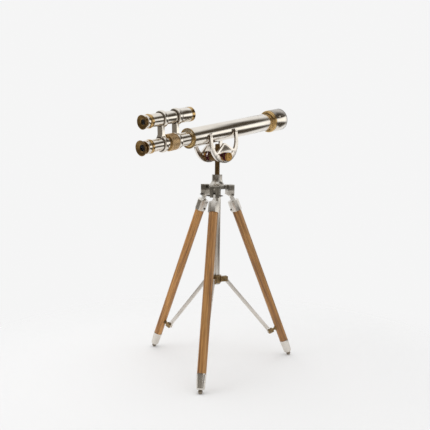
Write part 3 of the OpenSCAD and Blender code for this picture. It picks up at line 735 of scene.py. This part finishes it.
profile = [(WHEEL_NEAR, WHEEL_BORE)]
profile += [(WHEEL_NEAR + inset, WHEEL_R - drop) for inset, drop in WHEEL_EDGE]
profile += [(WHEEL_NEAR + WHEEL_PLAIN + KNURL_STEP * k, WHEEL_R) for k in range(KNURL_ROWS)]
profile += [(WHEEL_FAR - inset, WHEEL_R - drop) for inset, drop in reversed(WHEEL_EDGE)]
profile += [(WHEEL_FAR, WHEEL_BORE)]
bm = bmesh.new()
lathe(bm, scope_frame(0, 0, RISE), profile, around=KNURLS * 6, wave=diamonds)
new_piece("knurled_wheel", bm, "wheel", "focus_wheel", mats["knurl"], 50)

# Lock knobs with a fluted rim, a dished face and the axle's riveted end

KNOB_IN, KNOB_OUT, KNOB_R, KNOB_BORE = 24.2, 29.5, 7.8, 2.56
KNOB_INNER_EDGE, KNOB_OUTER_EDGE = 0.7, 0.9
FLUTES, FLUTE_DEPTH = 30, 0.32
RIVET_DEPTH = 1.7


def flutes(a, depth):
    """Height of the flutes between the knob's two rounded edges."""
    inside = min(depth - (KNOB_IN + KNOB_INNER_EDGE), (KNOB_OUT - KNOB_OUTER_EDGE) - depth)
    if inside <= -0.01:
        return 0.0
    return -FLUTE_DEPTH * (0.5 - 0.5 * math.cos(FLUTES * a)) ** 2


profile = [(KNOB_IN, KNOB_BORE), (KNOB_IN, KNOB_R - 1.1), (KNOB_IN + 0.35, KNOB_R - 0.5)]
profile += [(KNOB_IN + KNOB_INNER_EDGE + 0.62 * k, KNOB_R) for k in range(6)]
profile += [(KNOB_OUT - KNOB_OUTER_EDGE, KNOB_R), (KNOB_OUT - 0.45, KNOB_R - 0.45),
            (KNOB_OUT - 0.1, KNOB_R - 0.9), (KNOB_OUT, KNOB_R - 1.3),
            (KNOB_OUT - 0.15, KNOB_R - 1.9), (KNOB_OUT - 0.5, KNOB_R - 3.4),
            (KNOB_OUT - 0.55, 2.7), (KNOB_OUT - 0.3, 2.4), (KNOB_OUT - 0.1, 1.7),
            (KNOB_OUT, 0.6), (KNOB_OUT, 0.05),
            (KNOB_OUT - RIVET_DEPTH, 0.05), (KNOB_OUT - RIVET_DEPTH, KNOB_BORE)]
for side, sign in (("near", -1), ("far", 1)):
    place = frame_of(AXLE, Vector((0, sign, 0)), Vector((1, 0, 0)), UP)
    bm = bmesh.new()
    lathe(bm, place, profile, around=FLUTES * 6, wave=flutes)
    new_piece("fluted_knob_" + side, bm, side + "_knob", "knob_" + side, mats["knob"], 40)

# Slotted screw heads in place of the plain ones

SCREW_SIDES, DOME_STEPS = 32, 6
SLOT_WIDTH = 0.32


def slot_cutter(radius, height):
    """Box that cuts the upper half of a head right across."""
    bm = bmesh.new()
    bmesh.ops.create_cube(bm, size=1)
    for v in bm.verts:
        v.co = Vector((v.co.x * height + height, v.co.y * radius * SLOT_WIDTH,
                       v.co.z * 3 * radius)) * MM
    mesh = bpy.data.meshes.new("cut")
    bm.to_mesh(mesh)
    bm.free()
    return add_object("cut", mesh)


def plain_head(radius, height, dome):
    """Head along X whose last share, dome, is rounded."""
    profile = [(0, radius), (height * (1 - dome), radius)]
    for k in range(1, DOME_STEPS):
        t = k / DOME_STEPS * math.pi / 2
        profile.append((height * (1 - dome) + height * dome * math.sin(t), radius * math.cos(t)))
    profile.append((height, 0.02))
    bm = bmesh.new()
    lathe(bm, Matrix.Identity(4), profile, around=SCREW_SIDES, closed=False)
    mesh = bpy.data.meshes.new("head")
    bm.to_mesh(mesh)
    bm.free()
    return add_object("head", mesh)


def screw_heads(name, places, radius, height, dome, body, node, look):
    """Slotted heads at several places, as one piece."""
    bm = bmesh.new()
    for place in places:
        solid = plain_head(radius, height, dome)
        cutter = slot_cutter(radius, height)
        cut = solid.modifiers.new("slot", "BOOLEAN")
        cut.operation = "DIFFERENCE"
        cut.solver = "EXACT"
        cut.object = cutter
        bpy.context.view_layer.update()
        done = solid.evaluated_get(bpy.context.evaluated_depsgraph_get()).to_mesh()
        done.transform(place)
        bm.from_mesh(done)
        bpy.data.objects.remove(solid)
        bpy.data.objects.remove(cutter)
    new_piece(name, bm, body, node, mats[look], 30)


YOKE_SCREW_X, YOKE_SCREW_Y, YOKE_SCREW_Z = 33.7, 21.1, RISE - 1.4
CLAMP_STATIONS = (-127.9, -94.3)
LUG_SCREW_R, LUG_SCREW_Z = 31.2, 329

yoke_places = [
    facing(scope_frame(end * YOKE_SCREW_X, sign * YOKE_SCREW_Y, YOKE_SCREW_Z).translation,
           Vector((0, sign, 0)), 0.6 + end + sign * 0.4)
    for sign in (-1, 1) for end in (-1, 1)]
hood_place = round_out(169.5, RISE, 21.1, 21.7)
clamp_places = [round_out(station, FINDER_RISE, 14.3, -11) for station in CLAMP_STATIONS]
lug_places = [
    facing(AXIS + (heading(az) * LUG_SCREW_R + UP * LUG_SCREW_Z) * MM, heading(az), 0.7 * k)
    for k, az in enumerate(AZIMUTHS.values())]
screw_heads("yoke_screw_heads", yoke_places, 2.1, 1.2, 0.35,
            "tube", "yoke_screws", "nickel")
screw_heads("hood_screw_head", [hood_place], 1.7, 1.5, 0.6,
            "tube", "hood_screw", "nickel")
screw_heads("clamp_screw_heads", clamp_places, 1.6, 1.4, 0.5,
            "focus", "clamp_screws", "dark_steel")
screw_heads("lug_screw_heads", lug_places, 1.6, 0.9, 0.35,
            "tripod_head", "lug_screws", "satin")

# Lenses ground convex: name, axis, first and last station, radius, bulge, body, node, look

LENS_STEPS = 8
LENS_SIDES = 64
LENS_CORE = 0.02
LENSES = (
    ("objective_glass", RISE, 160.1, 164.6, 19.4, 1.2, "tube", "objective_lens", "glass"),
    ("eye_glass", RISE, -175.8, -173.4, 5.4, 0.5, "focus", "eye_lens", "eye_glass"),
    ("finder_glass", FINDER_RISE, -69.1, -66.5, 11.0, 0.7, "focus", "finder_lens", "glass"),
    ("finder_eye_glass", FINDER_RISE, -168.3, -166.4, 4.4, 0.4, "finder_eyepiece",
     "finder_eye_lens", "eye_glass"),
)
for name, rise, first, last, radius, bulge, body, node, look in LENSES:
    radii = [LENS_CORE + (radius - LENS_CORE) * k / LENS_STEPS for k in range(LENS_STEPS + 1)]
    profile = [(first + bulge * (r / radius) ** 2, r) for r in radii]
    profile += [(last - bulge * (r / radius) ** 2, r) for r in reversed(radii)]
    bm = bmesh.new()
    lathe(bm, scope_frame(0, 0, rise), profile, around=LENS_SIDES, closed=False)
    new_piece(name, bm, body, node, mats[look], 60)

# Floor that fades into the background, so that no edge or horizon shows

FLOOR_INNER, FLOOR_OUTER = 0.30, 0.62

bm = bmesh.new()
bmesh.ops.create_circle(bm, cap_ends=True, segments=96, radius=FLOOR_OUTER + 0.05)
for v in bm.verts:
    v.co += AXIS
floor_mesh = bpy.data.meshes.new("floor")
bm.to_mesh(floor_mesh)
bm.free()
m, nt, s = new_material("floor_paper")
s.inputs["Roughness"].default_value = 0.9
s.inputs["Specular IOR Level"].default_value = 0.1
paper = noise(nt, position(nt), 300, 2, 0.5)
link(nt, ramp(nt, paper, [(0.3, 0.965), (0.7, 0.975)]), s.inputs["Base Color"])
distance = vector_calc(nt, "LENGTH", vector_calc(nt, "SUBTRACT", position(nt), AXIS))
fade = add(nt, "ShaderNodeMapRange", interpolation_type="SMOOTHSTEP")
fade.inputs["From Min"].default_value = FLOOR_INNER
fade.inputs["From Max"].default_value = FLOOR_OUTER
link(nt, distance, fade.inputs["Value"])
mix_shaders(nt, fade.outputs["Result"], s, add(nt, "ShaderNodeBsdfTransparent"))
floor_mesh.materials.append(m)
add_object("floor", floor_mesh)

# World: a pale background, which metal and glass show too, and a plain level of light

LEVEL, BACKGROUND = 0.72, 0.915

world = bpy.data.worlds.new("studio")
bpy.context.scene.world = world
world.use_nodes = True
nt = world.node_tree
rays = add(nt, "ShaderNodeLightPath").outputs
seen = rays["Is Camera Ray"]
for kind in ("Is Glossy Ray", "Is Transmission Ray"):
    seen = calc(nt, "MAXIMUM", seen, rays[kind])
shown = mix(nt, "RGBA", seen, (LEVEL, LEVEL, LEVEL, 1), (BACKGROUND, BACKGROUND, BACKGROUND, 1))
link(nt, shown, nt.nodes["Background"].inputs["Color"])
nt.nodes["Background"].inputs["Strength"].default_value = 1

# Cards round the set that only reflections show: a strip light, dark flags and a grey wall

CARD_CENTRE = Vector((0.0, -0.034, 0.43))
CARD_AT = 1.8
CARD_ACROSS, CARD_TALL = 40, 24
WARM_DARK = (0.100, 0.083, 0.063)


def card(name, az, el, colour, strength, soft):
    """Curved card: limits az and el, and soft fades (left, right, low, high), in degrees."""
    verts, cover = [], []
    for j in range(CARD_TALL + 1):
        e = el[0] + (el[1] - el[0]) * j / CARD_TALL
        lift = math.radians(e)
        for i in range(CARD_ACROSS + 1):
            a = az[0] + (az[1] - az[0]) * i / CARD_ACROSS
            out = heading(a) * math.cos(lift) + UP * math.sin(lift)
            verts.append(CARD_CENTRE + CARD_AT * out)
            edge = min((a - az[0]) / soft[0], (az[1] - a) / soft[1],
                       (e - el[0]) / soft[2], (el[1] - e) / soft[3], 1.0)
            cover.append(edge * edge * (3 - 2 * edge))
    wide = CARD_ACROSS + 1
    faces = [(j * wide + i, j * wide + i + 1, (j + 1) * wide + i + 1, (j + 1) * wide + i)
             for j in range(CARD_TALL) for i in range(CARD_ACROSS)]
    mesh = bpy.data.meshes.new(name)
    mesh.from_pydata(verts, [], faces)
    mesh.attributes.new("cover", "FLOAT", "POINT").data.foreach_set("value", cover)
    m, nt, s = new_material(name)
    nt.nodes.remove(s)
    glow = add(nt, "ShaderNodeEmission")
    glow.inputs["Color"].default_value = (*colour, 1)
    glow.inputs["Strength"].default_value = strength
    share = add(nt, "ShaderNodeAttribute", attribute_name="cover").outputs["Fac"]
    mix_shaders(nt, share, add(nt, "ShaderNodeBsdfTransparent"), glow)
    mesh.materials.append(m)
    obj = add_object(name, mesh)
    obj.visible_camera = False
    obj.visible_diffuse = False
    obj.visible_shadow = False


card("strip_light", (-70, -12), (-3, 16), (1.0, 0.985, 0.94), 1.32, (8, 10, 2, 4))
card("upper_flag", (-95, 10), (15, 64), WARM_DARK, 0.75, (10, 28, 8, 22))
card("lower_flag", (-100, 4), (-31, -2), WARM_DARK, 0.7, (10, 14, 3, 8))
card("left_flag", (98, 174), (-32, 26), (0.20, 0.18, 0.155), 1.0, (12, 12, 10, 10))
card("camera_side_flag", (158, 264), (-10, 42), WARM_DARK, 1.0, (14, 14, 8, 16))
card("camera_side_wall", (170, 272), (-60, 8), (0.50, 0.475, 0.44), 1.0, (16, 16, 15, 10))

# Soft lamps that reflections don't show

LAMP_AIM = Vector((0.0, -0.03, 0.25))


def softbox(name, place, size, power):
    data = bpy.data.lights.new(name, "AREA")
    data.shape = "RECTANGLE"
    data.size, data.size_y = size, size
    data.energy = power
    lamp = add_object(name, data)
    lamp.location = place
    lamp.visible_glossy = False
    lamp.rotation_euler = (LAMP_AIM - Vector(place)).to_track_quat("-Z", "Y").to_euler()


softbox("overhead", (0.1, 0.1, 1.6), 1.3, 6.0)
softbox("side", (-1.1, 0.5, 1.0), 0.9, 2.5)

# Camera at the photograph's angle

CAMERA_AT = Vector((-894.75, -839.93, 415.7)) * MM
HEADING, PITCH, ROLL = 42.1375, 0.1124, 0.0145
LENS, SENSOR = 55.37, 36

ahead = heading(HEADING) * math.cos(PITCH) - UP * math.sin(PITCH)
level = ahead.cross(UP).normalized()
upright = level.cross(ahead)
right = level * math.cos(ROLL) + upright * math.sin(ROLL)
top = upright * math.cos(ROLL) - level * math.sin(ROLL)
camera_data = bpy.data.cameras.new("camera")
camera_data.lens = LENS
camera_data.sensor_width = SENSOR
camera_data.clip_start = 0.05
camera = add_object("camera", camera_data)
camera.matrix_world = frame_of(CAMERA_AT, right, top, -ahead)
bpy.context.scene.camera = camera
bpy.context.scene.view_settings.view_transform = "Standard"
